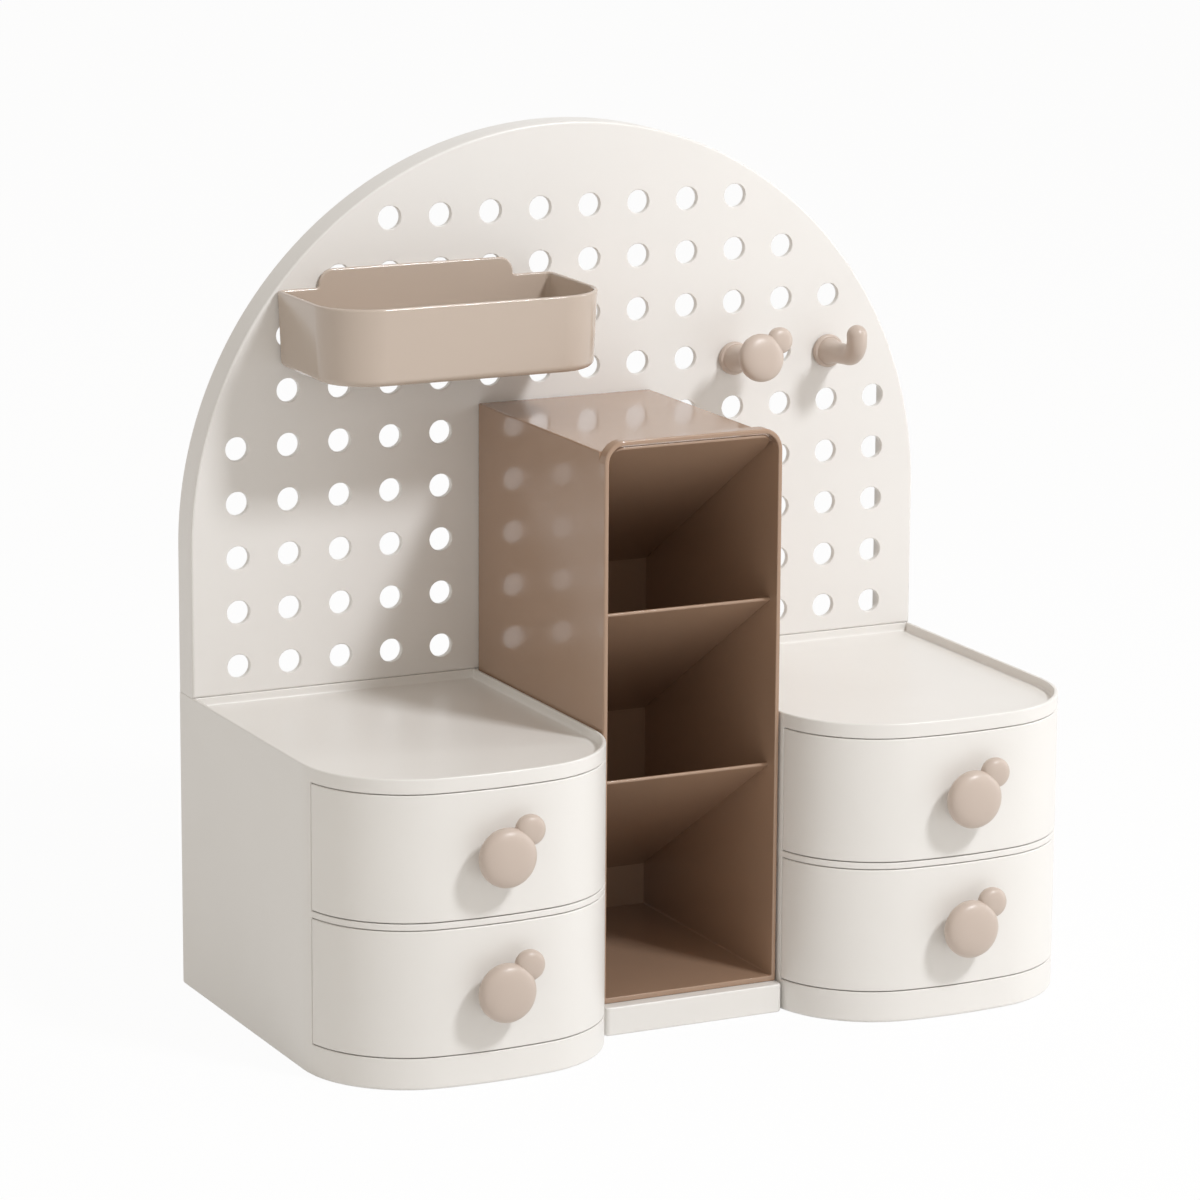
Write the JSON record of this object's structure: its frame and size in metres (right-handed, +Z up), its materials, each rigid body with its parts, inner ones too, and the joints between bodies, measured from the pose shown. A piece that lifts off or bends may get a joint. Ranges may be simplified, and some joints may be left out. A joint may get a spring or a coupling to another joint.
{
  "type": "pegboard desk organizer with drawers",
  "caption": "Desk organizer with two bow-fronted drawer cabinets, a slanted-shelf tower between them and an arched pegboard that carries a basket, a knob peg and a hook.",
  "frame": {"origin": "on the desk, midway across the width and under the front face of the pegboard", "axes": "+X to the right seen from the front, +Y towards the back, +Z up; the drawers open towards -Y"},
  "size_m": [0.37, 0.207, 0.3902],
  "materials": {
    "warm_white": "warm white moulded plastic, satin",
    "board_white": "warm white moulded plastic, satin",
    "drawer_white": "warm white moulded plastic, satin",
    "mocha": "mocha brown moulded plastic, glossy",
    "knob_mocha": "mocha brown moulded plastic, soft sheen",
    "screw_steel": "zinc plated steel"
  },
  "bodies": {
    "organizer": {"left_cabinet": "warm_white", "right_cabinet": "warm_white", "centre_bridge": "warm_white", "pegboard": "board_white"},
    "tower": {"tower_casing": "mocha", "tower_ceiling": "mocha", "tower_upper_shelf": "mocha", "tower_lower_shelf": "mocha"},
    "basket": {"basket": "mocha"},
    "peg_knob": {"peg_knob": "knob_mocha"},
    "hook_peg": {"hook_peg": "knob_mocha"},
    "left_upper_drawer": {"left_upper_drawer": "drawer_white", "left_upper_knob": "knob_mocha", "left_upper_knob_screw": "screw_steel"},
    "left_lower_drawer": {"left_lower_drawer": "drawer_white", "left_lower_knob": "knob_mocha", "left_lower_knob_screw": "screw_steel"},
    "right_upper_drawer": {"right_upper_drawer": "drawer_white", "right_upper_knob": "knob_mocha", "right_upper_knob_screw": "screw_steel"},
    "right_lower_drawer": {"right_lower_drawer": "drawer_white", "right_lower_knob": "knob_mocha", "right_lower_knob_screw": "screw_steel"}
  },
  "joints": [
    {"name": "left_upper_drawer_slide", "type": "slide", "parent": "organizer", "child": "left_upper_drawer", "axis": [0, -1, 0], "range_m": [0, 0.098]},
    {"name": "left_lower_drawer_slide", "type": "slide", "parent": "organizer", "child": "left_lower_drawer", "axis": [0, -1, 0], "range_m": [0, 0.098]},
    {"name": "right_upper_drawer_slide", "type": "slide", "parent": "organizer", "child": "right_upper_drawer", "axis": [0, -1, 0], "range_m": [0, 0.098]},
    {"name": "right_lower_drawer_slide", "type": "slide", "parent": "organizer", "child": "right_lower_drawer", "axis": [0, -1, 0], "range_m": [0, 0.098]},
    {"name": "tower_lift", "type": "slide", "parent": "organizer", "child": "tower", "axis": [0, 0, 1], "range_m": [0, 0.0049]},
    {"name": "basket_lift", "type": "slide", "parent": "organizer", "child": "basket", "axis": [0, 0, 1], "range_m": [0, 0.0049]},
    {"name": "peg_knob_lift", "type": "slide", "parent": "organizer", "child": "peg_knob", "axis": [0, 0, 1], "range_m": [0, 0.0049]},
    {"name": "hook_peg_lift", "type": "slide", "parent": "organizer", "child": "hook_peg", "axis": [0, 0, 1], "range_m": [0, 0.0049]}
  ]
}
